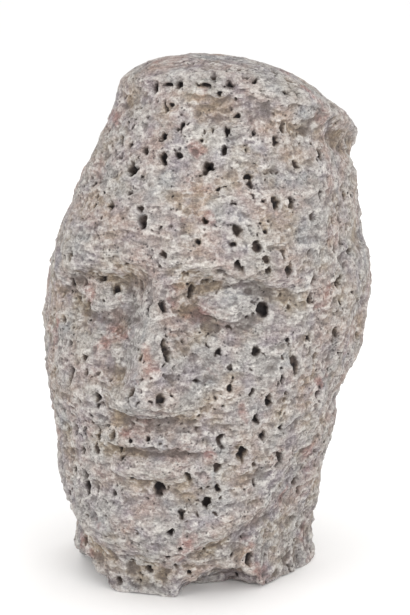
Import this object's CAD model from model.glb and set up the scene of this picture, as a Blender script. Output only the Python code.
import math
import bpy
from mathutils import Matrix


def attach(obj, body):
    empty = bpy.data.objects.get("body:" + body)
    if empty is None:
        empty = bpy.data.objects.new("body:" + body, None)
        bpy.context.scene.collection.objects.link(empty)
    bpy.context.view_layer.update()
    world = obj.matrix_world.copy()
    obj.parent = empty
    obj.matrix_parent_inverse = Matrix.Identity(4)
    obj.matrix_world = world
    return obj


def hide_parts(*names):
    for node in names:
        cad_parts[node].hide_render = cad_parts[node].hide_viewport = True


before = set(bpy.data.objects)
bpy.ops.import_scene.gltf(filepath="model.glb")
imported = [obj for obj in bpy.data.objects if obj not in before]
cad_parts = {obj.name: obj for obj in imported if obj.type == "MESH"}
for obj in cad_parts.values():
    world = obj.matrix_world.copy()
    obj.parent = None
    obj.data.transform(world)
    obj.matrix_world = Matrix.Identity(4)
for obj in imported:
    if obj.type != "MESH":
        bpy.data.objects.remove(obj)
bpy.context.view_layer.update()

# The looks of the volcanic stone head. Metres, +Z up, and the face looks along -Y.
from array import array

import bmesh
import bpy
from mathutils import Matrix, Vector
from mathutils.bvhtree import BVHTree
from mathutils.kdtree import KDTree

scene = bpy.context.scene

photo = {
    "azimuth": 16.0,  # degrees to the head's own left
    "elevation": 12.0,
    "distance": 1.1,
    "tall": 0.349,  # what the picture's height takes in at that distance
    "aim": (0.0032, 0.0, 0.1515),
    "width": 410,
    "height": 615,
    "sensor": 36.0,  # millimetres, along the picture's long side
}


def cameraAxes():
    azimuth, elevation = math.radians(photo["azimuth"]), math.radians(photo["elevation"])
    right = Vector((math.cos(azimuth), math.sin(azimuth), 0.0))
    back = Vector((
        math.sin(azimuth) * math.cos(elevation),
        -math.cos(azimuth) * math.cos(elevation),
        math.sin(elevation),
    ))
    return right, back.cross(right), back


def addCamera():
    back = cameraAxes()[2]
    data = bpy.data.cameras.new("camera")
    data.sensor_width = photo["sensor"]
    data.lens = photo["sensor"] * photo["distance"] / photo["tall"]
    camera = bpy.data.objects.new("camera", data)
    scene.collection.objects.link(camera)
    camera.location = Vector(photo["aim"]) + back * photo["distance"]
    camera.rotation_mode = "QUATERNION"
    camera.rotation_quaternion = (-back).to_track_quat("-Z", "Y")
    scene.camera = camera


# Short ways to add nodes. Inputs go by name or number, and take a value or another node's output.
def addNode(tree, kind, inputs=None, **settings):
    node = tree.nodes.new(kind)
    for name, value in settings.items():
        setattr(node, name, value)
    for name, value in (inputs or {}).items():
        if isinstance(value, bpy.types.NodeSocket):
            tree.links.new(value, node.inputs[name])
        else:
            node.inputs[name].default_value = value
    return node


def maths(tree, operation, first, second=0.0):
    return addNode(tree, "ShaderNodeMath", {0: first, 1: second}, operation=operation).outputs[0]


def times(tree, *values):
    running = values[0]
    for value in values[1:]:
        running = maths(tree, "MULTIPLY", running, value)
    return running


def total(tree, *values):
    running = values[0]
    for value in values[1:]:
        running = maths(tree, "ADD", running, value)
    return running


def vectorMaths(tree, operation, inputs):
    return addNode(tree, "ShaderNodeVectorMath", inputs, operation=operation).outputs[0]


def ranged(tree, value, low, high, toLow=0.0, toHigh=1.0):
    return addNode(tree, "ShaderNodeMapRange", {
        "Value": value, "From Min": low, "From Max": high, "To Min": toLow, "To Max": toHigh}).outputs[0]


def newTree(name, sizes, others=()):
    tree = bpy.data.node_groups.new(name, "GeometryNodeTree")
    tree.interface.new_socket("Geometry", in_out="OUTPUT", socket_type="NodeSocketGeometry")
    tree.interface.new_socket("Geometry", in_out="INPUT", socket_type="NodeSocketGeometry")
    for label, value in sizes.items():
        socket = tree.interface.new_socket(label, in_out="INPUT", socket_type="NodeSocketFloat")
        socket.default_value = value
    for label, kind in others:
        tree.interface.new_socket(label, in_out="INPUT", socket_type=kind)
    return tree


def setInputs(modifier, values):
    for item in modifier.node_group.interface.items_tree:
        if item.item_type == "SOCKET" and item.in_out == "INPUT" and item.name in values:
            modifier[item.identifier] = values[item.name]


def applyModifiers(obj):
    graph = bpy.context.evaluated_depsgraph_get()
    mesh = bpy.data.meshes.new_from_object(obj.evaluated_get(graph))
    obj.modifiers.clear()
    old, obj.data = obj.data, mesh
    bpy.data.meshes.remove(old)


# The open pores of the stone, wide and small. Their cells are cut by the surface, so they
# come in every size up to the widest. The mesh and the material read the same pattern.
# The widest radius is a share of a cell, share is how many cells hold a pore, deep is a
# multiple of the radius, and a squeeze under one makes them taller than wide.
pores = {
    "wide": {
        "cell": 0.0086, "widest": 0.37, "share": 0.85, "deep": 1.5,
        "squeeze": 0.7, "shift": 0.0, "fade": 0.4,
    },
    "small": {
        "cell": 0.0046, "widest": 0.3, "share": 0.42, "deep": 1.3,
        "squeeze": 1.1, "shift": 3.7, "fade": 0.5,
    },
    "spread": 0.6,  # under one, more of them come near the widest
    "least": 0.01,
    "warpSize": 0.0042,
    "warp": 0.0052,
    "wall": 0.3,  # the share of a pore's radius that its wall takes up
}


def poreField(tree, place, kind):
    look = pores[kind]
    warp = addNode(tree, "ShaderNodeTexNoise", {
        "Vector": place, "Scale": 1.0 / pores["warpSize"], "Detail": 1.0}).outputs["Color"]
    shift = vectorMaths(tree, "SCALE", {
        0: vectorMaths(tree, "SUBTRACT", {0: warp, 1: (0.5, 0.5, 0.5)}), "Scale": pores["warp"]})
    moved = vectorMaths(tree, "ADD", {0: place, 1: shift})
    squeezed = vectorMaths(tree, "MULTIPLY", {0: moved, 1: (1.0, 1.0, look["squeeze"])})
    at = vectorMaths(tree, "ADD", {0: squeezed, 1: (look["shift"], 0.0, 0.0)})
    cells = addNode(tree, "ShaderNodeTexVoronoi", {"Vector": at, "Scale": 1.0 / look["cell"]})
    luck = addNode(tree, "ShaderNodeSeparateXYZ", {0: cells.outputs["Color"]}).outputs["X"]
    reach = maths(tree, "POWER", ranged(tree, luck, 1.0 - look["share"], 1.0), pores["spread"])
    radius = maths(tree, "MAXIMUM", times(tree, reach, look["widest"]), pores["least"])
    return cells.outputs["Distance"], radius


def poreMask(tree, place, kind, wall):
    distance, radius = poreField(tree, place, kind)
    return ranged(tree, distance, times(tree, radius, 1.0 - wall), radius, 1.0, 0.0), radius


body = {
    "weld": 0.00001,
    "voxel": 0.00105,
    "softening": 10,  # passes that round the carved facets
    "mostTriangles": 195000,
}

crust = {
    "lumpSize": 0.03,
    "lumpHeight": 0.0008,
    "ledgeSize": 0.019,
    "ledgeHeight": 0.00045,
    "flakeSize": 0.0085,
    "flakeHeight": 0.00025,
    "flatness": 1.9,  # ledges and flakes are this much wider than tall
    "overhang": 0.6,  # how far they hang over, as a share of their height
    "crumbSize": 0.0048,
    "crumbHeight": 0.0003,
    "creaseSize": 0.016,
    "creaseDepth": 0.0005,
    "creaseWidth": 0.028,
    "dentSize": 0.0095,
    "dentDepth": 0.0008,
    "breakSize": 0.012,
    "breakDepth": 0.003,
    "breakReach": 0.045,  # the crust is rougher this near the broken edge
    "floorFade": 0.005,  # and thins out this near the plane that the head stands on
    "floorLeft": 0.25,  # to this share of its height
}

# How far a point lies under the blurred surface around it: narrow hollows by a few
# passes of the blur, broad ones by many. Reach is the depth that counts in full.
shading = {
    "hollow": {"passes": 8, "reach": 0.0004},
    "dip": {"passes": 90, "reach": 0.0014},
}


def crustTree():
    tree = newTree("crust", crust, [("Material", "NodeSocketMaterial")])
    given = addNode(tree, "NodeGroupInput").outputs
    place = addNode(tree, "GeometryNodeInputPosition").outputs[0]
    normal = addNode(tree, "GeometryNodeInputNormal").outputs[0]
    height = addNode(tree, "ShaderNodeSeparateXYZ", {0: place}).outputs["Z"]

    def noise(size, detail, roughness, shift, flatness=1.0):
        stretch = addNode(tree, "ShaderNodeCombineXYZ", {"X": 1.0, "Y": 1.0, "Z": flatness}).outputs[0]
        shifted = vectorMaths(tree, "ADD", {0: place, 1: shift})
        at = vectorMaths(tree, "MULTIPLY", {0: shifted, 1: stretch})
        return addNode(tree, "ShaderNodeTexNoise", {
            "Vector": at, "Scale": maths(tree, "DIVIDE", 1.0, size),
            "Detail": detail, "Roughness": roughness}).outputs[0]

    def swell(size, tall, detail, roughness, shift):
        level = noise(size, detail, roughness, shift)
        return times(tree, ranged(tree, level, 0.3, 0.7, -1.0, 1.0), tall)

    def step(size, tall, shift):
        level = noise(size, 3.0, 0.5, shift, given["flatness"])
        return times(tree, ranged(tree, level, 0.46, 0.54, -1.0, 1.0), tall)

    def dents(size, deep, shift):
        at = vectorMaths(tree, "ADD", {0: place, 1: shift})
        finer = maths(tree, "DIVIDE", 1.0, size)
        cells = addNode(tree, "ShaderNodeTexVoronoi", {"Vector": at, "Scale": finer})
        luck = addNode(tree, "ShaderNodeSeparateXYZ", {0: cells.outputs["Color"]}).outputs["X"]
        reach = ranged(tree, luck, 0.3, 1.0, 0.02, 0.5)
        inside = ranged(tree, cells.outputs["Distance"], times(tree, reach, 0.45), reach, 1.0, 0.0)
        return times(tree, inside, luck, deep, -1.0)

    def pits(kind):
        mask, radius = poreMask(tree, place, kind, pores["wall"])
        return times(tree, mask, radius, -pores[kind]["deep"] * pores[kind]["cell"])

    ledges = total(
        tree,
        step(given["ledgeSize"], given["ledgeHeight"], (0.0, 1.7, 0.0)),
        step(given["flakeSize"], given["flakeHeight"], (2.3, 0.0, 0.0)),
    )
    wave = noise(given["creaseSize"], 3.0, 0.5, (0.0, 0.0, 4.4), 1.5)
    fold = maths(tree, "ABSOLUTE", maths(tree, "SUBTRACT", wave, 0.5))
    crease = ranged(tree, fold, 0.0, given["creaseWidth"], -1.0, 0.0)
    creases = times(tree, crease, given["creaseDepth"])
    broken = ranged(tree, noise(given["breakSize"], 2.0, 0.5, (6.1, 0.0, 0.0)), 0.4, 0.6, 0.0, -1.0)
    nearBreak = ranged(tree, height, 0.0, given["breakReach"], 1.0, 0.0)
    chipped = times(tree, broken, given["breakDepth"], nearBreak)
    sunk = addNode(tree, "GeometryNodeInputNamedAttribute", {"Name": "chosenDepth"}, data_type="FLOAT")
    raised = total(
        tree,
        swell(given["lumpSize"], given["lumpHeight"], 2.0, 0.45, (3.1, 0.0, 0.0)),
        swell(given["crumbSize"], given["crumbHeight"], 2.0, 0.6, (0.0, 5.3, 0.0)),
        dents(given["dentSize"], given["dentDepth"], (0.0, 0.9, 0.0)),
        ledges, creases, chipped, pits("wide"), pits("small"), times(tree, sunk.outputs[0], -1.0),
    )
    fade = ranged(tree, height, 0.0, given["floorFade"], given["floorLeft"], 1.0)
    outward = vectorMaths(tree, "SCALE", {0: normal, "Scale": times(tree, raised, fade)})
    hang = times(tree, ledges, fade, given["overhang"], -1.0)
    downward = addNode(tree, "ShaderNodeCombineXYZ", {"Z": hang}).outputs[0]
    going = vectorMaths(tree, "ADD", {0: place, 1: vectorMaths(tree, "ADD", {0: outward, 1: downward})})
    parts = addNode(tree, "ShaderNodeSeparateXYZ", {0: going}).outputs
    above = addNode(tree, "ShaderNodeCombineXYZ", {
        "X": parts["X"], "Y": parts["Y"], "Z": maths(tree, "MAXIMUM", parts["Z"], 0.0)}).outputs[0]
    moved = addNode(tree, "GeometryNodeSetPosition", {"Geometry": given["Geometry"], "Position": above})
    shaped = moved.outputs[0]

    for label, blur in shading.items():
        blurred = addNode(
            tree, "GeometryNodeBlurAttribute", {"Iterations": blur["passes"]}, data_type="FLOAT_VECTOR")
        tree.links.new(place, next(s for s in blurred.inputs if s.enabled and s.type == "VECTOR"))
        around = next(s for s in blurred.outputs if s.enabled and s.type == "VECTOR")
        gap = vectorMaths(tree, "SUBTRACT", {0: around, 1: place})
        under = addNode(tree, "ShaderNodeVectorMath", {0: gap, 1: normal}, operation="DOT_PRODUCT")
        deep = ranged(tree, under.outputs["Value"], -blur["reach"], blur["reach"])
        stored = addNode(
            tree, "GeometryNodeStoreNamedAttribute", {"Geometry": shaped, "Name": label, "Value": deep},
            data_type="FLOAT", domain="POINT")
        shaped = stored.outputs[0]
    whole = addNode(tree, "GeometryNodeRealizeInstances", {0: shaped}).outputs[0]
    painted = addNode(tree, "GeometryNodeSetMaterial", {"Geometry": whole, "Material": given["Material"]})
    tree.links.new(painted.outputs[0], addNode(tree, "NodeGroupOutput").inputs[0])
    return tree


# The pores that stand out in the picture, on the cap, the forehead and the side of the jaw.
# Across, down, width and height in picture points, and the slant in degrees.
tellingPores = [
    (163, 158, 7, 13, 4), (210, 166, 8, 8, -30), (178, 84, 7, 12, -20), (154, 88, 6, 9, -25),
    (166, 85, 11, 4, 0), (205, 87, 11, 5, 5), (219, 94, 5, 5, 0), (225, 69, 6, 3, 0),
    (255, 79, 4, 11, -30), (171, 104, 6, 5, 0), (182, 126, 4, 9, -25), (164, 136, 7, 9, -15),
    (130, 145, 5, 7, -20), (227, 130, 6, 10, 0), (254, 133, 4, 7, 0), (237, 116, 6, 4, 10),
    (133, 170, 11, 9, 0), (248, 177, 9, 5, 0), (200, 175, 3, 3, 0), (286, 92, 8, 5, 0),
    (288, 340, 5, 5, 0), (310, 339, 5, 5, -30), (340, 354, 5, 5, 0), (314, 363, 5, 3, 10),
    (282, 378, 4, 11, 0), (286, 393, 4, 6, 0), (270, 404, 9, 6, -20), (257, 421, 7, 13, 25),
    (263, 437, 8, 9, 10), (281, 427, 5, 6, 0), (279, 456, 5, 5, 0), (319, 401, 3, 3, 0),
]
tellingShape = {
    "deep": 0.9,  # of half its width and height together
    "edge": 1.15,  # where the wall starts, in radii from its middle
    "wall": 0.35,
    "threeLobes": 0.16,
    "fiveLobes": 0.1,
}

# The faint crack across the front of the cap, in picture points.
crack = {
    "path": [(221, 85), (232, 88), (244, 92), (258, 94), (272, 99)],
    "step": 3.0,
    "width": 2.2,
    "long": 6.0,
    "wobble": 0.9,
    "deep": 0.3,
    "dark": 0.58,
}


def markChosenPores(surface):
    mesh = surface.data
    right, up, back = cameraAxes()
    eye = Vector(photo["aim"]) + back * photo["distance"]
    point = photo["tall"] / photo["height"]
    skin = BVHTree.FromObject(surface, bpy.context.evaluated_depsgraph_get())
    corners = KDTree(len(mesh.vertices))
    for vertex in mesh.vertices:
        corners.insert(vertex.co, vertex.index)
    corners.balance()
    masks = array("f", [0.0]) * len(mesh.vertices)
    depths = array("f", [0.0]) * len(mesh.vertices)

    def sink(across, down, width, height, slant, deep, dark=1.0):
        sideways = right * (across - photo["width"] / 2) * point
        upwards = up * (photo["height"] / 2 - down) * point
        hit, normal = skin.ray_cast(eye, sideways + upwards - back * photo["distance"])[:2]
        if hit is None:
            return
        side = Matrix.Rotation(math.radians(slant), 3, back) @ right
        side = (side - normal * side.dot(normal)).normalized()
        along = normal.cross(side)
        halfWide, halfHigh = width * point / 2, height * point / 2
        for place, index, _ in corners.find_range(hit, 2 * max(halfWide, halfHigh)):
            u = (place - hit).dot(side) / halfWide
            w = (place - hit).dot(along) / halfHigh
            angle = math.atan2(w, u)
            uneven = 1 + tellingShape["threeLobes"] * math.sin(3 * angle + across)
            uneven += tellingShape["fiveLobes"] * math.sin(5 * angle + down)
            reach = math.hypot(u, w) / uneven
            mask = dark * min(max(1.5 - reach, 0.0), 1.0)  # a half at the rim
            masks[index] = max(masks[index], mask)
            fall = min(max((tellingShape["edge"] - reach) / tellingShape["wall"], 0.0), 1.0)
            depths[index] = max(depths[index], deep * (halfWide + halfHigh) * fall)

    for row in tellingPores:
        sink(*row, deep=tellingShape["deep"])
    for start, end in zip(crack["path"], crack["path"][1:]):
        start, end = Vector(start), Vector(end)
        count = max(1, round((end - start).length / crack["step"]))
        slant = math.degrees(math.atan2(end.y - start.y, end.x - start.x))
        for i in range(count):
            at = start.lerp(end, i / count)
            at.y += crack["wobble"] * math.sin(at.x * 0.9)
            sink(at.x, at.y, crack["long"], crack["width"], -slant, crack["deep"], crack["dark"])
    for name, values in (("chosen", masks), ("chosenDepth", depths)):
        mesh.attributes.new(name, "FLOAT", "POINT").data.foreach_set("value", values)


def triangles(mesh):
    mesh.calc_loop_triangles()
    return len(mesh.loop_triangles)


def stoneHead(node, material):
    piece = bpy.data.objects.new("carvedHead", node.data.copy())
    scene.collection.objects.link(piece)
    shape = bmesh.new()
    shape.from_mesh(piece.data)
    bmesh.ops.remove_doubles(shape, verts=shape.verts, dist=body["weld"])
    shape.to_mesh(piece.data)
    shape.free()
    piece.data.materials.clear()

    even = piece.modifiers.new("even", "REMESH")
    even.mode = "VOXEL"
    even.voxel_size = body["voxel"]
    soft = piece.modifiers.new("soft", "SMOOTH")
    soft.iterations = body["softening"]
    applyModifiers(piece)
    print("even skin", triangles(piece.data))

    # Where each point was before the crust, for the pattern of the pores.
    places = array("f", [0.0]) * (3 * len(piece.data.vertices))
    piece.data.vertices.foreach_get("co", places)
    piece.data.attributes.new("rest", "FLOAT_VECTOR", "POINT").data.foreach_set("vector", places)
    markChosenPores(piece)

    rough = piece.modifiers.new("crust", "NODES")
    rough.node_group = crustTree()
    setInputs(rough, {"Material": material})
    applyModifiers(piece)
    count = triangles(piece.data)
    print("crust and pores", count)

    if count > body["mostTriangles"]:
        fewer = piece.modifiers.new("fewer", "DECIMATE")
        fewer.ratio = body["mostTriangles"] / count
        applyModifiers(piece)
    mesh = piece.data
    for vertex in mesh.vertices:
        vertex.co.z = max(vertex.co.z, 0.0)  # thinning the mesh can dip a corner under the floor
    if "material_index" in mesh.attributes:
        mesh.attributes.remove(mesh.attributes["material_index"])
    mesh.materials.clear()
    mesh.materials.append(material)
    mesh.shade_smooth()
    print("finished", triangles(mesh))
    return piece


def srgb(code):
    parts = [int(code[i:i + 2], 16) / 255 for i in (0, 2, 4)]
    return tuple(p / 12.92 if p < 0.04045 else ((p + 0.055) / 1.055) ** 2.4 for p in parts) + (1.0,)


stoneLook = {
    "grey": srgb("a09e9c"),
    "pink": srgb("a39590"),
    "mauve": srgb("8f8990"),
    "blue": srgb("959a9e"),
    "red": srgb("96736e"),
    "ochre": srgb("ac9b80"),
    "pale": srgb("d6d3cf"),
    "dark": srgb("565050"),
    "poreBrown": srgb("544943"),
    "poreDark": srgb("272324"),
    "ochreSize": 0.022,
    "ochreAmount": 0.75,
    "paleSize": 0.007,
    "paleAmount": 0.65,
    "grainSize": 0.0013,
    "grainAmount": 0.85,
    "grainHeight": 0.5,
    "streakSize": 0.0045,
    "streakAmount": 0.55,
    "hollowShade": 0.6,
    "dipShade": 0.5,
    "pinholesPerMetre": 430.0,
    "pinholeGroups": 0.008,
    "pinholeShade": 0.6,
    "pinholeHeight": -0.7,
    "coreSize": 0.009,
    "coreShade": 0.95,
    "foldSize": 0.0045,
    "foldHeight": 1.3,
    "bumpDepth": 0.0011,
    "gloss": 0.3,
    "dullest": 0.98,
    "shiniest": 0.8,
}

# Patches of colour over the grey, each from a noise between low and high.
patches = [
    {"tint": "pink", "size": 0.022, "low": 0.42, "high": 0.62, "shift": 1.3, "amount": 1.0},
    {"tint": "mauve", "size": 0.014, "low": 0.48, "high": 0.64, "shift": 4.1, "amount": 0.7},
    {"tint": "blue", "size": 0.018, "low": 0.52, "high": 0.68, "shift": 7.7, "amount": 0.5},
    {"tint": "red", "size": 0.022, "low": 0.6, "high": 0.7, "shift": 9.2, "amount": 0.8},
]


def stoneMaterial():
    look = stoneLook
    material = bpy.data.materials.new("volcanic_stone")
    material.use_nodes = True
    tree = material.node_tree
    shader = tree.nodes["Principled BSDF"]
    place = addNode(tree, "ShaderNodeTexCoord").outputs["Object"]
    rest = addNode(tree, "ShaderNodeAttribute", attribute_name="rest").outputs["Vector"]

    def noise(size, low, high, shift, detail=4.0, roughness=0.5, distortion=0.0, flatness=1.0):
        moved = vectorMaths(tree, "ADD", {0: place, 1: (shift, shift * 0.7, -shift)})
        flatter = vectorMaths(tree, "MULTIPLY", {0: moved, 1: (1.0, 1.0, flatness)})
        node = addNode(tree, "ShaderNodeTexNoise", {
            "Vector": flatter, "Scale": 1.0 / size, "Detail": detail,
            "Roughness": roughness, "Distortion": distortion})
        return ranged(tree, node.outputs[0], low, high)

    def mix(amount, under, over, blend="MIX"):
        node = addNode(tree, "ShaderNodeMix", {0: amount, 6: under, 7: over},
                       data_type="RGBA", blend_type=blend)
        return node.outputs[2]  # input 0 is the factor, and 6, 7 and output 2 are the colours

    def attribute(name):
        return addNode(tree, "ShaderNodeAttribute", attribute_name=name).outputs["Fac"]

    hollow, dip = attribute("hollow"), attribute("dip")

    tint = look["grey"]
    for patch in patches:
        spots = noise(patch["size"], patch["low"], patch["high"], patch["shift"])
        tint = mix(times(tree, spots, patch["amount"]), tint, look[patch["tint"]])

    settled = ranged(tree, dip, 0.3, 0.8, 0.25, 1.0)
    sediment = times(tree, noise(look["ochreSize"], 0.45, 0.62, 2.9, detail=5.0), settled)
    tint = mix(times(tree, sediment, look["ochreAmount"]), tint, look["ochre"])
    flecks = noise(look["paleSize"], 0.4, 0.62, 5.5, detail=5.0, roughness=0.6, flatness=1.7)
    proud = times(tree, flecks, ranged(tree, hollow, 0.6, 0.25))
    tint = mix(times(tree, proud, look["paleAmount"]), tint, look["pale"])
    speck = noise(look["grainSize"], 0.32, 0.68, 3.3, detail=3.0, roughness=0.7)
    tint = mix(look["grainAmount"], tint, mix(speck, look["dark"], look["pale"]), "SOFT_LIGHT")
    streak = noise(
        look["streakSize"], 0.5, 0.66, 6.4, detail=5.0, roughness=0.65, distortion=1.2, flatness=1.8)
    tint = mix(times(tree, streak, look["streakAmount"]), tint, look["dark"])
    tint = mix(ranged(tree, hollow, 0.55, 1.0, 0.0, look["hollowShade"]), tint, look["dark"])
    tint = mix(ranged(tree, dip, 0.5, 0.95, 0.0, look["dipShade"]), tint, look["poreBrown"])

    dots = addNode(tree, "ShaderNodeTexVoronoi", {"Vector": place, "Scale": look["pinholesPerMetre"]})
    dot = ranged(tree, dots.outputs["Distance"], 0.32, 0.14)
    pinhole = times(tree, dot, noise(look["pinholeGroups"], 0.52, 0.6, 8.8, detail=2.0))
    tint = mix(times(tree, pinhole, look["pinholeShade"]), tint, look["poreDark"])

    wide = poreMask(tree, rest, "wide", pores["wide"]["fade"])[0]
    small = poreMask(tree, rest, "small", pores["small"]["fade"])[0]
    chosen = ranged(tree, attribute("chosen"), 0.35, 0.75)
    opened = maths(tree, "MAXIMUM", wide, small)
    tint = mix(maths(tree, "MAXIMUM", opened, chosen), tint, look["poreBrown"])
    dim = noise(look["coreSize"], 0.38, 0.52, 6.6, detail=1.0)
    core = times(tree, ranged(tree, opened, 0.4, 1.0), dim)
    core = maths(tree, "MAXIMUM", core, ranged(tree, chosen, 0.4, 0.9))
    tint = mix(times(tree, core, look["coreShade"]), tint, look["poreDark"])
    tree.links.new(tint, shader.inputs["Base Color"])
    matt = ranged(tree, speck, 0.0, 1.0, look["dullest"], look["shiniest"])
    tree.links.new(matt, shader.inputs["Roughness"])
    shader.inputs["Specular IOR Level"].default_value = look["gloss"]

    grain = noise(look["grainSize"], 0.2, 0.8, 0.4, roughness=0.65)
    folds = noise(look["foldSize"], 0.2, 0.8, 1.9, roughness=0.6, distortion=0.8, flatness=1.8)
    height = total(
        tree,
        times(tree, grain, look["grainHeight"]),
        times(tree, folds, look["foldHeight"]),
        times(tree, pinhole, look["pinholeHeight"]),
    )
    bump = addNode(tree, "ShaderNodeBump", {"Height": height, "Distance": look["bumpDepth"]})
    tree.links.new(bump.outputs[0], shader.inputs["Normal"])
    return material


floorLook = {"size": 60.0, "colour": srgb("f4f3f2"), "roughness": 0.8}


def addFloor():
    mesh = bpy.data.meshes.new("floor")
    half = floorLook["size"] / 2
    corners = [(-half, -half, 0), (half, -half, 0), (half, half, 0), (-half, half, 0)]
    mesh.from_pydata(corners, [], [(0, 1, 2, 3)])
    floor = bpy.data.objects.new("floor", mesh)
    scene.collection.objects.link(floor)
    material = bpy.data.materials.new("paleFloor")
    material.use_nodes = True
    shader = material.node_tree.nodes["Principled BSDF"]
    shader.inputs["Base Color"].default_value = floorLook["colour"]
    shader.inputs["Roughness"].default_value = floorLook["roughness"]
    mesh.materials.append(material)


softboxes = {
    "overhead": {"place": (0.1, -0.5, 1.5), "size": 1.0, "power": 1.0},
    "front": {"place": (-1.0, -1.3, 0.4), "size": 1.0, "power": 12.0},
    "side": {"place": (1.2, -1.0, 0.4), "size": 1.0, "power": 14.0},
    "behind": {"place": (0.2, 1.6, 0.7), "size": 1.0, "power": 6.0},
}
lampAim = Vector((0, 0, 0.15))
surround = {"colour": (1.0, 1.0, 1.0, 1.0), "strength": 1.12}  # the white studio all round


def addLights():
    for name, box in softboxes.items():
        data = bpy.data.lights.new(name, "AREA")
        data.shape = "SQUARE"
        data.size = box["size"]
        data.energy = box["power"]
        lamp = bpy.data.objects.new(name, data)
        scene.collection.objects.link(lamp)
        lamp.location = box["place"]
        lamp.rotation_mode = "QUATERNION"
        lamp.rotation_quaternion = (lampAim - lamp.location).to_track_quat("-Z", "Y")
    world = bpy.data.worlds.new("studio")
    world.use_nodes = True
    background = world.node_tree.nodes["Background"]
    background.inputs["Color"].default_value = surround["colour"]
    background.inputs["Strength"].default_value = surround["strength"]
    scene.world = world


print("camera and lights")
addCamera()
addLights()
addFloor()
scene.view_settings.view_transform = "Standard"

print("stone")
stone = stoneMaterial()
carvedHead = stoneHead(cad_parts["stone_head"], stone)
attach(carvedHead, "root")
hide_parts("stone_head")

print("size file")
